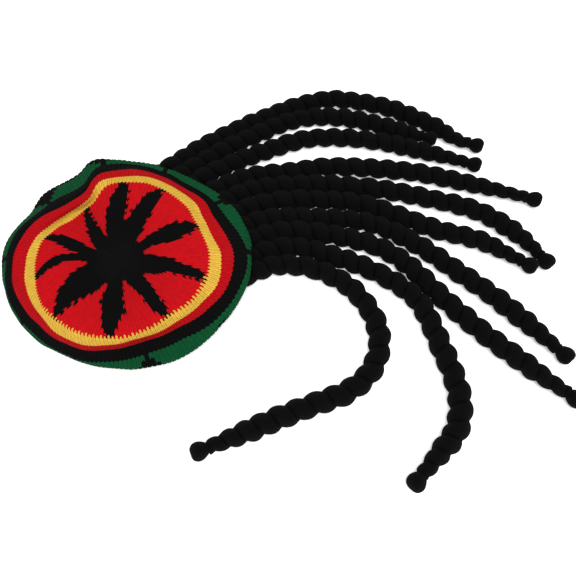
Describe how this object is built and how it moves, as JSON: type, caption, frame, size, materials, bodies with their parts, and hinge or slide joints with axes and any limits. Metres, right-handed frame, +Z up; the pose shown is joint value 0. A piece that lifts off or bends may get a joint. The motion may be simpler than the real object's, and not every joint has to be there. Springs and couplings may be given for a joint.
{
  "type": "rasta tam with knitted locks",
  "caption": "Slouchy knitted cap with a leaf rosette and rings on its crown, a ribbed band, and knitted locks that lie beside it.",
  "frame": {"origin": "under the middle of the cap, on the surface that the band stands on", "axes": "+Z up through the crown, +X towards the side where most of the locks lie, +Y towards the side that the first lock leaves"},
  "size_m": [0.6555, 0.5392, 0.0473],
  "materials": {
    "striped_knit": "fine knit in red, black, yellow and green",
    "black_rib_knit": "black rib knit",
    "black_tube_knit": "black tube knit, drawn in by a winding seam"
  },
  "bodies": {
    "root": {"crown": "striped_knit", "ribbed_band": "black_rib_knit", "lock_01": "black_tube_knit", "lock_02": "black_tube_knit", "lock_03": "black_tube_knit", "lock_04": "black_tube_knit", "lock_05": "black_tube_knit", "lock_06": "black_tube_knit", "lock_07": "black_tube_knit", "lock_08": "black_tube_knit", "lock_09": "black_tube_knit", "lock_10": "black_tube_knit", "knob_01": "black_tube_knit", "knob_02": "black_tube_knit", "knob_03": "black_tube_knit", "knob_04": "black_tube_knit", "knob_05": "black_tube_knit", "knob_06": "black_tube_knit", "knob_07": "black_tube_knit", "knob_08": "black_tube_knit", "knob_09": "black_tube_knit", "knob_10": "black_tube_knit"}
  },
  "joints": []
}
